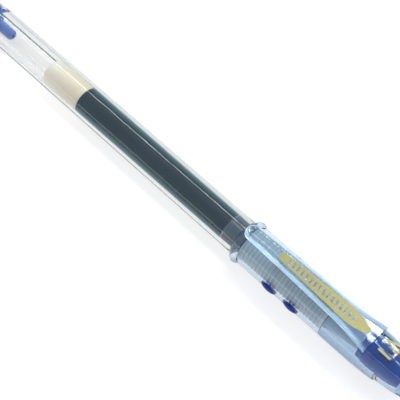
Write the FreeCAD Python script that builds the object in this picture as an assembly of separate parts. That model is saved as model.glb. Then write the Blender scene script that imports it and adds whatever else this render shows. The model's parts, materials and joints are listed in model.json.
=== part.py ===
import FreeCAD, Part
import os
from math import cos, pi, sin

# Capped gel pen with a direct-filled clear barrel, lying along X with its clip on top.
# Stations run along the pen's axis, from 0 at the rear end of the plug to the closed end of the cap.
# While a piece is made, its axis is the X axis. At the end every piece moves to the row's frame,
# whose origin is below the middle of the pen, on the surface that the pen lies on.

# ---- Barrel and what it holds (mm)
BARREL_D = 9.2
BARREL_LENGTH = 91.7
BORE_D = 4.6
BARREL_CHAMFER = 0.3
AIR_SPACE = 23.2            # from the barrel's rear end to the follower
FOLLOWER_LENGTH = 12.4
FOLLOWER_DISH = 0.7         # depth of the follower's hollow rear face
FOLLOWER_CLEARANCE = 0.03   # radial, follower in the bore
FOLLOWER_GAP = 0.02         # follower to ink, along the axis

# ---- End plug
PLUG_HEAD_LENGTH = 2.5
PLUG_HEAD_STEP = 0.25       # head below the barrel's surface, radial
PLUG_HEAD_ROUND = 0.9
PLUG_SPIGOT_LENGTH = 1.9
PLUG_TAIL_D = 2.9
PLUG_TAIL_LENGTH = 6.1
PLUG_TAIL_ROUND = 0.6
PLUG_VENT_D = 1.0

# ---- Front section and grip
SPIGOT_LENGTH = 4.7
COLLAR_LENGTH = 1.6
COLLAR_STEP = 0.25          # collar below the barrel's surface, radial
COLLAR_ROUND = 0.15
SECTION_BORE_D = 2.2
GRIP_LENGTH = 25.6
GRIP_STEP = 0.45            # grip below the barrel's surface, radial
SLEEVE_WALL = 1.0
RIB_PITCH = 1.0
RIB_DEPTH = 0.2
RIB_LAND = 0.4              # plain ring at each end of the sleeve

# ---- Nose and tip
NOSE_FLANGE_LENGTH = 0.9
NOSE_FLANGE_STEP = 0.05     # flange below the grip's surface, radial
NOSE_FLANGE_ROUND = 0.3
NOSE_CONE_LENGTH = 11.2
NOSE_STEP = 1.05            # cone's base below the grip's surface, radial
NOSE_WALL = 0.9
NOSE_END_D = 3.2
NOSE_SOCKET_DEPTH = 4.0
HOLDER_D = 2.5
HOLDER_NOSE_D = 2.3
HOLDER_OUT = 2.0            # how far the holder stands out of the nose
TIP_SHANK_D = 1.6
TIP_SHANK_LENGTH = 5.0
TIP_BORE_D = 0.9
TIP_SHOULDER_D = 2.1
TIP_SHOULDER_LENGTH = 0.6
TIP_CONE_LENGTH = 2.8
TIP_LIP_WALL = 0.08
TIP_BORE_END = 1.2          # solid metal between the tip's bore and its lip
TIP_DUCT_D = 0.36
BALL_D = 0.7
BALL_CLEARANCE = 0.02       # radial, ball in its seat
BALL_BEHIND_LIP = 0.12      # ball's centre behind the lip, so that the lip holds it

# ---- Cap
CAP_WALL = 0.85
CAP_CLEARANCE = 0.3         # radial, cap over the grip
NOSE_CLEARANCE = 0.3        # radial, cap over the nose cone
MOUTH_CLEARANCE = 0.1       # radial, cap's mouth over the collar
MOUTH_OVERLAP = 0.2         # how far the mouth reaches behind the barrel's front end
MOUTH_DEPTH = 2.0
STOP_GAP = 0.1              # cap's inner shoulder to the nose flange
LIP_LENGTH = 2.4
LIP_PROUD = 0.57            # bead above the cap's body, radial
CROWN_TAPER_LENGTH = 7.2
CROWN_TAPER_DROP = 0.45
CROWN_TAPER_MID_DROP = 0.15  # drop halfway along the taper
CROWN_LEDGE = 0.35
CROWN_DOME_DROP = 1.3
CROWN_DOME_BOW = 0.22       # dome above the straight line between its ends
CROWN_END_LENGTH = 6.5      # solid end, from the inner cap to the closed end
CROWN_END_ROUND = 3.0
CROWN_FLAT_R = 0.8
TAPER_BEFORE_PLUG = 1.0     # crown starts to taper this far behind the inner cap

# ---- Inner cap and seal
SEAL_GAP = 0.1              # seal to ball
SEAL_LENGTH = 2.0
SOCKET_DEPTH = 7.3
SOCKET_D = 4.1
INNER_CAP_BASE = 2.2
INNER_CAP_TAPER_LENGTH = 4.0
INNER_CAP_TAPER = 0.8

# ---- Side bumps of the cap
BUMP_STATIONS = (12.7, 19.5)    # from the cap's mouth
BUMP_ANGLE = 95.0               # degrees from the clip
BUMP_LENGTH = 4.4
BUMP_HEIGHT = 0.45
BUMP_ROUND_R = 4.0              # radius of a bump across the pen

# ---- Clip
CLIP_SETBACK = 0.6          # free end ahead of the mouth
CLIP_LIP_GAP = 0.13         # clip's underside above the lip
CLIP_END_THICKNESS = 0.75
CLIP_RISE = 0.45            # top of the clip's bow above the middle of its two ends
CLIP_UNDER_RISE = 0.4
CLIP_EDGE_ROUND = 0.7
CLIP_END_WIDTH = 4.2
CLIP_NECK_WIDTH = 6.0
CLIP_ROOT_WIDTH = 8.4
CLIP_FLARE_LENGTH = 11.0
CLIP_FLARE_BOW = 0.45       # how far the flare's sides bow inwards
HINGE_AHEAD = 2.2           # hinge line ahead of the inner cap's rear face
HINGE_LIFT = 0.3            # knuckle above the cap's body
KNUCKLE_D = 1.2
KNUCKLE_CLEARANCE = 0.04    # radial
ROOT_GAP = 0.12             # root block ahead of the hinge line
ROOT_LENGTH = 14.4
ROOT_END_WIDTH = 4.6
ROOT_MID_AT = 7.9           # where the block's plan is ROOT_MID_WIDTH wide, from its rear face
ROOT_MID_WIDTH = 7.45
ROOT_ROUND = 1.3
ROOT_BOW = 1.3              # how far the block's top bows up between its ends
ROOT_END_Z = 2.4            # block's top at its front end
ROOT_FOOT = 3.4             # block's underside, inside the cap's wall

# ---- Printed foils
FOIL_THICKNESS = 0.05
STRIP_START = 10.4          # from the clip's free end
STRIP_BEFORE_HINGE = 2.0
STRIP_START_WIDTH = 2.2
STRIP_WIDE = 3.9
STRIP_END_LENGTH = 6.8      # from the widest place to the front end
STRIP_END_MID_WIDTH = 3.38  # halfway along that length
STRIP_END_D = 2.04          # of the round front end
MARK_AHEAD = 1.4            # from the hinge line to the crown's mark
DROP_LENGTH = 4.4
DROP_WIDTH = 2.3
DROP_STROKE = 0.5
DROP_SIDE = 1.55            # drop's centre from the middle of the crown
STROKE_LENGTH = 3.6
STROKE_WIDTH = 0.6
STROKE_SIDE = 1.4

# ---- Radii that follow
barrel_r = BARREL_D / 2
bore_r = BORE_D / 2
collar_r = barrel_r - COLLAR_STEP
grip_r = barrel_r - GRIP_STEP
core_r = grip_r - SLEEVE_WALL
section_bore_r = SECTION_BORE_D / 2
nose_base_r = grip_r - NOSE_STEP
nose_socket_r = nose_base_r - NOSE_WALL
holder_r = HOLDER_D / 2
shank_r = TIP_SHANK_D / 2
ball_r = BALL_D / 2
cap_bore_r = grip_r + CAP_CLEARANCE
cap_r = cap_bore_r + CAP_WALL
mouth_r = barrel_r + MOUTH_CLEARANCE
lip_r = cap_r + LIP_PROUD
inner_cap_r = nose_base_r + NOSE_CLEARANCE
inner_cap_end_r = inner_cap_r - INNER_CAP_TAPER
crown_r = cap_r - CROWN_TAPER_DROP
dome_r = crown_r - CROWN_LEDGE
dome_end_r = dome_r - CROWN_DOME_DROP
socket_r = SOCKET_D / 2

# ---- Stations that follow
barrel_rear = PLUG_HEAD_LENGTH
barrel_front = barrel_rear + BARREL_LENGTH
tail_front = barrel_rear + PLUG_SPIGOT_LENGTH + PLUG_TAIL_LENGTH
follower_rear = barrel_rear + AIR_SPACE
follower_front = follower_rear + FOLLOWER_LENGTH
ink_rear = follower_front + FOLLOWER_GAP
spigot_rear = barrel_front - SPIGOT_LENGTH
grip_rear = barrel_front + COLLAR_LENGTH
grip_front = grip_rear + GRIP_LENGTH
socket_end = grip_front + NOSE_SOCKET_DEPTH
flange_front = grip_front + NOSE_FLANGE_LENGTH
nose_front = flange_front + NOSE_CONE_LENGTH
holder_front = nose_front + HOLDER_OUT
shank_rear = holder_front - TIP_SHANK_LENGTH
tip_front = holder_front + TIP_SHOULDER_LENGTH + TIP_CONE_LENGTH
ball_x = tip_front - BALL_BEHIND_LIP
seal_rear = ball_x + ball_r + SEAL_GAP
seal_front = seal_rear + SEAL_LENGTH
inner_cap_rear = seal_rear - SOCKET_DEPTH
inner_cap_front = seal_front + INNER_CAP_BASE
taper_start = inner_cap_rear - TAPER_BEFORE_PLUG
taper_end = taper_start + CROWN_TAPER_LENGTH
pen_length = inner_cap_front + CROWN_END_LENGTH
dome_end = pen_length - CROWN_END_ROUND
mouth_x = barrel_front - MOUTH_OVERLAP
stop_x = flange_front + STOP_GAP
clip_free = mouth_x + CLIP_SETBACK
hinge_x = inner_cap_rear + HINGE_AHEAD
hinge_z = cap_r + HINGE_LIFT + KNUCKLE_D / 2
clip_top_z = hinge_z + KNUCKLE_D / 2
clip_under_z = hinge_z - KNUCKLE_D / 2
clip_end_under_z = lip_r + CLIP_LIP_GAP
clip_end_top_z = clip_end_under_z + CLIP_END_THICKNESS
flare_start = hinge_x - CLIP_FLARE_LENGTH
root_start = hinge_x + ROOT_GAP
root_end = root_start + ROOT_LENGTH
mark_start = hinge_x + MARK_AHEAD

X_AXIS = FreeCAD.Vector(1, 0, 0)
Y_AXIS = FreeCAD.Vector(0, 1, 0)
Z_AXIS = FreeCAD.Vector(0, 0, 1)
CENTRE = FreeCAD.Vector(0, 0, 0)
SAME_PLACE = 0.01           # lengths below this count as none


# ---- Outlines and simple bodies
def in_side_view(a, b):
    return FreeCAD.Vector(a, 0, b)


def in_plan_view(a, b):
    return FreeCAD.Vector(a, b, 0)


def outline(view, start, legs):
    """Closed face from a start point. A leg (a, b) is a straight run to that point,
    and a leg (a, b, c, d) is an arc through (a, b) that ends at (c, d)."""
    edges = []
    here = view(*start)
    for leg in legs + [start]:
        end = view(*leg[-2:])
        if here.distanceToPoint(end) < SAME_PLACE:
            continue
        if len(leg) == 4:
            edges.append(Part.Arc(here, view(*leg[:2]), end).toShape())
        else:
            edges.append(Part.LineSegment(here, end).toShape())
        here = end
    return Part.Face(Part.Wire(edges))


def turned(start, legs):
    """Solid turned about the pen's axis from an outline of (station, radius) points."""
    return outline(in_side_view, start, legs).revolve(CENTRE, X_AXIS, 360)


def turned_step(x0, x1, r):
    return Part.makeCylinder(r, x1 - x0, FreeCAD.Vector(x0, 0, 0), X_AXIS)


def across(face, width):
    """Solid of a side-view outline, as wide as given, centred on the pen."""
    solid = face.extrude(Y_AXIS * width)
    solid.translate(Y_AXIS * (-width / 2))
    return solid


def upwards(face, height):
    """Solid of a plan-view outline, from the pen's axis up."""
    return face.extrude(Z_AXIS * height)


# ---- Barrel group
def make_barrel_tube():
    c = BARREL_CHAMFER
    return turned((barrel_rear, bore_r), [
        (barrel_rear, barrel_r - c),
        (barrel_rear + c, barrel_r),
        (barrel_front - c, barrel_r),
        (barrel_front, barrel_r - c),
        (barrel_front, bore_r),
    ])


def make_end_plug():
    head_r = barrel_r - PLUG_HEAD_STEP
    vent_r = PLUG_VENT_D / 2
    tail_r = PLUG_TAIL_D / 2
    spigot_front = barrel_rear + PLUG_SPIGOT_LENGTH
    head_bend = PLUG_HEAD_ROUND * (1 - cos(pi / 4))
    tail_bend = PLUG_TAIL_ROUND * (1 - cos(pi / 4))
    return turned((0, vent_r), [
        (0, head_r - PLUG_HEAD_ROUND),
        (head_bend, head_r - head_bend, PLUG_HEAD_ROUND, head_r),
        (barrel_rear, head_r),
        (barrel_rear, bore_r),
        (spigot_front, bore_r),
        (spigot_front, tail_r),
        (tail_front - PLUG_TAIL_ROUND, tail_r),
        (tail_front - tail_bend, tail_r - tail_bend, tail_front, tail_r - PLUG_TAIL_ROUND),
        (tail_front, vent_r),
    ])


def make_follower_grease():
    r = bore_r - FOLLOWER_CLEARANCE
    side_r = r * sin(pi / 4)
    dish_at = follower_rear + FOLLOWER_DISH
    return turned((dish_at, 0), [
        (follower_rear + FOLLOWER_DISH / 2, side_r, follower_rear, r),
        (follower_front, r),
        (follower_front, 0),
    ])


def make_ink_column():
    return turned_step(ink_rear, spigot_rear, bore_r)


def make_section_ink():
    return turned((spigot_rear, 0), [
        (spigot_rear, section_bore_r),
        (socket_end, section_bore_r),
        (socket_end, shank_r),
        (shank_rear, shank_r),
        (shank_rear, 0),
    ])


# ---- Front section, grip, nose and tip
def make_front_section():
    bend = COLLAR_ROUND * (1 - cos(pi / 4))
    return turned((spigot_rear, section_bore_r), [
        (spigot_rear, bore_r),
        (barrel_front, bore_r),
        (barrel_front, collar_r),
        (grip_rear - COLLAR_ROUND, collar_r),
        (grip_rear - bend, collar_r - bend, grip_rear, collar_r - COLLAR_ROUND),
        (grip_rear, core_r),
        (grip_front, core_r),
        (grip_front, nose_socket_r),
        (socket_end, nose_socket_r),
        (socket_end, section_bore_r),
    ])


def make_grip_sleeve():
    ribbed = GRIP_LENGTH - 2 * RIB_LAND
    ribs = int(ribbed / RIB_PITCH)
    pitch = ribbed / ribs
    legs = [(grip_rear, grip_r), (grip_rear + RIB_LAND, grip_r)]
    for i in range(ribs):
        x = grip_rear + RIB_LAND + i * pitch
        legs.append((x + pitch / 2, grip_r - RIB_DEPTH))
        legs.append((x + pitch, grip_r))
    legs += [(grip_front, grip_r), (grip_front, core_r)]
    return turned((grip_rear, core_r), legs)


def make_nose_cone():
    flange_r = grip_r - NOSE_FLANGE_STEP
    bend = NOSE_FLANGE_ROUND * (1 - cos(pi / 4))
    return turned((grip_front, nose_socket_r), [
        (grip_front, flange_r),
        (flange_front - NOSE_FLANGE_ROUND, flange_r),
        (flange_front - bend, flange_r - bend, flange_front, flange_r - NOSE_FLANGE_ROUND),
        (flange_front, nose_base_r),
        (nose_front, NOSE_END_D / 2),
        (nose_front, holder_r),
        (socket_end, holder_r),
        (socket_end, nose_socket_r),
    ])


def make_tip_holder():
    return turned((socket_end, shank_r), [
        (socket_end, holder_r),
        (nose_front, holder_r),
        (holder_front, HOLDER_NOSE_D / 2),
        (holder_front, shank_r),
    ])


def make_writing_tip():
    seat_r = ball_r + BALL_CLEARANCE
    lip_outer_r = seat_r + TIP_LIP_WALL
    bore_end = tip_front - TIP_BORE_END
    shoulder_front = holder_front + TIP_SHOULDER_LENGTH
    body = turned((shank_rear, 0), [
        (shank_rear, shank_r),
        (holder_front, shank_r),
        (holder_front, TIP_SHOULDER_D / 2),
        (shoulder_front, TIP_SHOULDER_D / 2),
        (tip_front, lip_outer_r),
        (tip_front, 0),
    ])
    bore = turned_step(shank_rear, bore_end, TIP_BORE_D / 2)
    duct = turned_step(bore_end, ball_x, TIP_DUCT_D / 2)
    seat = Part.makeSphere(seat_r, FreeCAD.Vector(ball_x, 0, 0))
    return body.cut(bore).cut(duct).cut(seat)


def make_tip_ball():
    return Part.makeSphere(ball_r, FreeCAD.Vector(ball_x, 0, 0))


# ---- Cap group
def make_cap_outside():
    taper_mid = (taper_start + taper_end) / 2
    taper_mid_r = cap_r - CROWN_TAPER_MID_DROP
    dome_mid = (taper_end + dome_end) / 2
    dome_mid_r = (dome_r + dome_end_r) / 2 + CROWN_DOME_BOW
    round_r = dome_end_r - CROWN_FLAT_R
    end_mid = dome_end + CROWN_END_ROUND * sin(pi / 4)
    return turned((mouth_x, 0), [
        (mouth_x, cap_r),
        (mouth_x + LIP_LENGTH / 2, lip_r, mouth_x + LIP_LENGTH, cap_r),
        (taper_start, cap_r),
        (taper_mid, taper_mid_r, taper_end, crown_r),
        (taper_end, dome_r),
        (dome_mid, dome_mid_r, dome_end, dome_end_r),
        (end_mid, CROWN_FLAT_R + round_r * cos(pi / 4), pen_length, CROWN_FLAT_R),
        (pen_length, 0),
    ])


def make_cap_inside():
    taper_from = inner_cap_front - INNER_CAP_TAPER_LENGTH
    return turned((mouth_x, 0), [
        (mouth_x, mouth_r),
        (mouth_x + MOUTH_DEPTH, mouth_r),
        (mouth_x + MOUTH_DEPTH, cap_bore_r),
        (stop_x, cap_bore_r),
        (stop_x, inner_cap_r),
        (taper_from, inner_cap_r),
        (inner_cap_front, inner_cap_end_r),
        (inner_cap_front, 0),
    ])


def make_bump(station, side):
    """Lens-shaped bump, turned about a line inside the cap so that it is round both ways."""
    x = mouth_x + station
    top = cap_r + BUMP_HEIGHT
    centre_z = top - BUMP_ROUND_R
    half = BUMP_LENGTH / 2
    along_r = (half ** 2 + BUMP_HEIGHT ** 2) / (2 * BUMP_HEIGHT)
    half_deep = half + BUMP_HEIGHT
    end_z = top - along_r + (along_r ** 2 - half_deep ** 2) ** 0.5
    face = outline(in_side_view, (x - half_deep, centre_z), [
        (x - half_deep, end_z),
        (x, top, x + half_deep, end_z),
        (x + half_deep, centre_z),
    ])
    bump = face.revolve(FreeCAD.Vector(x, 0, centre_z), X_AXIS, 360)
    bump.rotate(CENTRE, X_AXIS, side * BUMP_ANGLE)
    return bump


def root_top(lift=0.0):
    """The two ends and the middle of the root block's top line, raised by lift."""
    end_z = ROOT_END_Z + lift
    start_z = clip_top_z + lift
    mid = ((root_start + root_end) / 2, (start_z + end_z) / 2 + ROOT_BOW)
    return (root_start, start_z), mid, (root_end, end_z)


def make_root_block():
    start, mid, end = root_top()
    side = outline(in_side_view, (root_start, ROOT_FOOT), [
        start,
        mid + end,
        (root_end, 0),
        (root_start + ROOT_LENGTH / 2, 0),
    ])
    root_w = CLIP_ROOT_WIDTH / 2
    end_w = ROOT_END_WIDTH / 2
    mid_x = root_start + ROOT_MID_AT
    mid_w = ROOT_MID_WIDTH / 2
    tip = root_end - end_w
    plan = outline(in_plan_view, (root_start, -root_w), [
        (mid_x, -mid_w, tip, -end_w),
        (root_end, 0, tip, end_w),
        (mid_x, mid_w, root_start, root_w),
    ])
    block = across(side, CLIP_ROOT_WIDTH * 2).common(upwards(plan, clip_top_z * 2))
    top_edges = [e for e in block.Edges if e.BoundBox.ZMin > end[1] - SAME_PLACE
                 and e.BoundBox.XLength > SAME_PLACE]
    return block.makeFillet(ROOT_ROUND, top_edges)


def make_cap_shell():
    outside = make_cap_outside()
    for station in BUMP_STATIONS:
        for side in (-1, 1):
            outside = outside.fuse(make_bump(station, side))
    outside = outside.fuse(make_root_block())
    socket = Part.makeCylinder(KNUCKLE_D / 2 + KNUCKLE_CLEARANCE, CLIP_ROOT_WIDTH * 2,
                               FreeCAD.Vector(hinge_x, -CLIP_ROOT_WIDTH, hinge_z), Y_AXIS)
    return outside.cut(make_cap_inside()).cut(socket).removeSplitter()


def make_inner_cap():
    taper_from = inner_cap_front - INNER_CAP_TAPER_LENGTH
    return turned((inner_cap_rear, socket_r), [
        (inner_cap_rear, inner_cap_r),
        (taper_from, inner_cap_r),
        (inner_cap_front, inner_cap_end_r),
        (inner_cap_front, 0),
        (seal_front, 0),
        (seal_front, socket_r),
    ])


def make_tip_seal():
    return turned_step(seal_rear, seal_front, socket_r)


def clip_top(lift=0.0):
    """The two ends and the middle of the clip's top line, raised by lift."""
    mid_z = (clip_end_top_z + clip_top_z) / 2 + CLIP_RISE
    mid = ((clip_free + hinge_x) / 2, mid_z + lift)
    return (clip_free, clip_end_top_z + lift), mid, (hinge_x, clip_top_z + lift)


def make_pocket_clip():
    start, mid, end = clip_top()
    under_mid_z = (clip_end_under_z + clip_under_z) / 2 + CLIP_UNDER_RISE
    side = outline(in_side_view, (clip_free, clip_end_under_z), [
        start,
        mid + end,
        (hinge_x, clip_under_z),
        ((clip_free + hinge_x) / 2, under_mid_z, clip_free, clip_end_under_z),
    ])
    end_w = CLIP_END_WIDTH / 2
    neck_w = CLIP_NECK_WIDTH / 2
    root_w = CLIP_ROOT_WIDTH / 2
    flare_mid = (flare_start + hinge_x) / 2
    flare_w = (neck_w + root_w) / 2 - CLIP_FLARE_BOW
    plan = outline(in_plan_view, (hinge_x, -root_w), [
        (flare_mid, -flare_w, flare_start, -neck_w),
        (clip_free + end_w, -end_w),
        (clip_free, 0, clip_free + end_w, end_w),
        (flare_start, neck_w),
        (flare_mid, flare_w, hinge_x, root_w),
    ])
    arm = across(side, CLIP_ROOT_WIDTH * 2).common(upwards(plan, clip_top_z * 2))
    top_edges = [e for e in arm.Edges if e.BoundBox.ZMin > clip_end_top_z - SAME_PLACE
                 and e.BoundBox.XMin < hinge_x - SAME_PLACE]
    arm = arm.makeFillet(CLIP_EDGE_ROUND, top_edges)
    knuckle = Part.makeCylinder(KNUCKLE_D / 2, CLIP_ROOT_WIDTH - 2 * CLIP_EDGE_ROUND,
                                FreeCAD.Vector(hinge_x, CLIP_EDGE_ROUND - root_w, hinge_z), Y_AXIS)
    return arm.fuse(knuckle).removeSplitter()


# ---- Foils
def foil(top_line, plan):
    """Thin layer on a top line, in the shape of a plan-view outline."""
    start, mid, end = top_line(0.0)
    start_up, mid_up, end_up = top_line(FOIL_THICKNESS)
    band = outline(in_side_view, start, [
        mid + end,
        end_up,
        mid_up + start_up,
    ])
    return across(band, CLIP_ROOT_WIDTH * 2).common(upwards(plan, clip_top_z * 2))


def make_clip_foil():
    x0 = clip_free + STRIP_START
    x1 = hinge_x - STRIP_BEFORE_HINGE
    wide_x = x1 - STRIP_END_LENGTH
    mid_x = x1 - STRIP_END_LENGTH / 2
    w0 = STRIP_START_WIDTH / 2
    w1 = STRIP_WIDE / 2
    w2 = STRIP_END_MID_WIDTH / 2
    w3 = STRIP_END_D / 2
    plan = outline(in_plan_view, (x0 + w0, -w0), [
        (wide_x, -w1),
        (mid_x, -w2, x1 - w3, -w3),
        (x1, 0, x1 - w3, w3),
        (mid_x, w2, wide_x, w1),
        (x0 + w0, w0),
        (x0, 0, x0 + w0, -w0),
    ])
    return foil(clip_top, plan)


def drop_outline(x, y, length, width):
    """Drop with its point towards the rear and its round end towards the front."""
    r = width / 2
    round_x = x + length - r
    return outline(in_plan_view, (x, y), [
        (round_x, y - r),
        (round_x + r, y, round_x, y + r),
    ])


def make_crown_mark():
    t = DROP_STROKE
    outer = drop_outline(mark_start, DROP_SIDE, DROP_LENGTH, DROP_WIDTH)
    inner = drop_outline(mark_start + 2 * t, DROP_SIDE, DROP_LENGTH - 3 * t, DROP_WIDTH - 2 * t)
    half = STROKE_WIDTH / 2
    x0 = mark_start + (DROP_LENGTH - STROKE_LENGTH) / 2 + half
    x1 = x0 + STROKE_LENGTH - 2 * half
    stroke = outline(in_plan_view, (x0, -STROKE_SIDE - half), [
        (x1, -STROKE_SIDE - half),
        (x1 + half, -STROKE_SIDE, x1, -STROKE_SIDE + half),
        (x0, -STROKE_SIDE + half),
        (x0 - half, -STROKE_SIDE, x0, -STROKE_SIDE - half),
    ])
    drop = foil(root_top, outer).cut(foil(root_top, inner))
    return Part.makeCompound(drop.Solids + foil(root_top, stroke).Solids)


# ---- Write the pieces
PIECES = {
    "barrel_tube": make_barrel_tube,
    "end_plug": make_end_plug,
    "follower_grease": make_follower_grease,
    "ink_column": make_ink_column,
    "section_ink": make_section_ink,
    "front_section": make_front_section,
    "grip_sleeve": make_grip_sleeve,
    "nose_cone": make_nose_cone,
    "tip_holder": make_tip_holder,
    "writing_tip": make_writing_tip,
    "tip_ball": make_tip_ball,
    "cap_shell": make_cap_shell,
    "inner_cap": make_inner_cap,
    "tip_seal": make_tip_seal,
    "pocket_clip": make_pocket_clip,
    "clip_foil": make_clip_foil,
    "crown_mark": make_crown_mark,
}

os.makedirs("parts", exist_ok=True)
to_row_frame = FreeCAD.Vector(-pen_length / 2, 0, lip_r)
for node, make in PIECES.items():
    piece = make()
    piece.translate(to_row_frame)
    piece.exportStep("parts/" + node + ".step")
    box = piece.BoundBox
    print("%-16s solids %d valid %s volume %9.3f  x %.2f..%.2f  y %.2f..%.2f  z %.2f..%.2f" % (
        node, len(piece.Solids), piece.isValid(), piece.Volume,
        box.XMin, box.XMax, box.YMin, box.YMax, box.ZMin, box.ZMax))
print("stations: length %.3f ball %.3f hinge %.3f mouth %.3f stop %.3f inner cap %.3f..%.3f" % (
    pen_length, ball_x, hinge_x, mouth_x, stop_x, inner_cap_rear, inner_cap_front))
print("radii: cap %.3f lip %.3f grip %.3f; hinge height %.3f" % (cap_r, lip_r, grip_r, hinge_z))
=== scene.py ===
"""Looks of a capped gel pen with a clear barrel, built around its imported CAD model."""
import json
from math import cos, pi, radians, sin, sqrt

import bpy
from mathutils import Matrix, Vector


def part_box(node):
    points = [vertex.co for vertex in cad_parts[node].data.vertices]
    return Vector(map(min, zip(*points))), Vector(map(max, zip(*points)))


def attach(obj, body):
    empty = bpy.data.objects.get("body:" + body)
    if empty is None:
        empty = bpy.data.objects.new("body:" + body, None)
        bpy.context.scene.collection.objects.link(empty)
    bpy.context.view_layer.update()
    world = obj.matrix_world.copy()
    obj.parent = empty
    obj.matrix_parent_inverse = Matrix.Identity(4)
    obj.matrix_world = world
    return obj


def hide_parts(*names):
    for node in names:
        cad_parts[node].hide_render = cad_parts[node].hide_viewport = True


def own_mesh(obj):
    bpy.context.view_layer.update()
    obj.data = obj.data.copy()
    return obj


bl_info = {
    "name": "Gel Pen",
    "version": (1, 0, 0),
    "blender": (4, 5, 0),
    "location": "3D View > Sidebar > Gel Pen",
    "description": "Builds the visible pieces, finishes and studio of a capped gel pen",
    "category": "Add Mesh",
}

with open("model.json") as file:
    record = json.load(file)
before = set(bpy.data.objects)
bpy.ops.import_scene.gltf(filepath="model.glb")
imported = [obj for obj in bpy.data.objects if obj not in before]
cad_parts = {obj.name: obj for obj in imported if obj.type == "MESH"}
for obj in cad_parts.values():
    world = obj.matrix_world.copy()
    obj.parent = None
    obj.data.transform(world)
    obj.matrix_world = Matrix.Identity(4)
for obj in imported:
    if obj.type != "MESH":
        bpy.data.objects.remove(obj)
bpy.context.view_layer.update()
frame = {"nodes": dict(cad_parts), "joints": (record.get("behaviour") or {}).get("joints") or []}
MM = 0.001


def low(node):
    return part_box(node)[0]


def high(node):
    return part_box(node)[1]


def radius_of(node):
    return (high(node).z - low(node).z) / 2


AXIS_Z = (low("barrel_tube").z + high("barrel_tube").z) / 2
REAR_X = low("end_plug").x
BARREL_REAR = low("barrel_tube").x
BARREL_FRONT = high("barrel_tube").x
BARREL_R = radius_of("barrel_tube")
BORE_R = radius_of("ink_column")
GRIP_REAR = low("grip_sleeve").x
GRIP_FRONT = high("grip_sleeve").x
GRIP_R = radius_of("grip_sleeve")
NOSE_FRONT = high("nose_cone").x
MOUTH_X = low("cap_shell").x
END_X = high("cap_shell").x
LIP_R = AXIS_Z - 0.005 * MM
CAP_R = 5.3 * MM
NOSE_CONE_LENGTH = 11.2 * MM
PLUG_REAR = low("inner_cap").x
PLUG_FRONT = high("inner_cap").x
PLUG_R = radius_of("inner_cap")
TAPER_FROM = PLUG_FRONT - 4.0 * MM
CLIP_FREE = low("pocket_clip").x
HINGE = Vector(next(j for j in frame["joints"] if j["name"] == "clip_flex")["pos_m"])

# Heights above the pen's axis at the rear end, the middle and the front end of each arc
CLIP_TOP = (6.75 * MM, 7.225 * MM, 6.8 * MM)
CLIP_UNDER = (6.0 * MM, 6.2 * MM, 5.6 * MM)
CROWN_TOP = (6.8 * MM, 5.9 * MM, 2.4 * MM)
CROWN_FRONT = HINGE.x + 14.52 * MM
BUMP_STATIONS = (12.7 * MM, 19.5 * MM)


# ---- Sizes and colours that a user may change
def length(name, description, default):
    return bpy.props.FloatProperty(name=name, description=description, default=default,
                                   min=0.0, unit="LENGTH", subtype="DISTANCE", precision=5)


def colour(name, description, default):
    return bpy.props.FloatVectorProperty(name=name, description=description, subtype="COLOR",
                                         size=4, min=0.0, max=1.0, default=default)


class PenSizes(bpy.types.PropertyGroup):
    """Details that the CAD model leaves out"""
    edge_round: length("Edge round", "Rounding of the moulded edges", 0.12 * MM)
    wetting: length("Wetting", "How far the ink reaches into the barrel's inner surface", 0.01 * MM)
    rib_pitch: length("Rib pitch", "Distance between two ribs of the grip", 1.0 * MM)
    rib_depth: length("Rib depth", "Depth of the grooves between the ribs", 0.2 * MM)
    cap_gap: length("Cap gap", "Air between the grip and the cap's wall", 0.3 * MM)
    crown_drop: length("Crown drop", "How much thinner the crown is than the cap's body", 0.45 * MM)
    crown_ledge: length("Crown ledge", "Height of the small step around the crown", 0.35 * MM)
    clip_end_width: length("Clip end width", "Width of the clip near its free end", 4.2 * MM)
    clip_neck_width: length("Clip neck width", "Width of the clip where it starts to flare", 6.0 * MM)
    clip_root_width: length("Clip root width", "Width of the clip at its root", 8.4 * MM)
    seam_gap: length("Seam gap", "Gap between the clip's root and the crown", 0.06 * MM)


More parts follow.
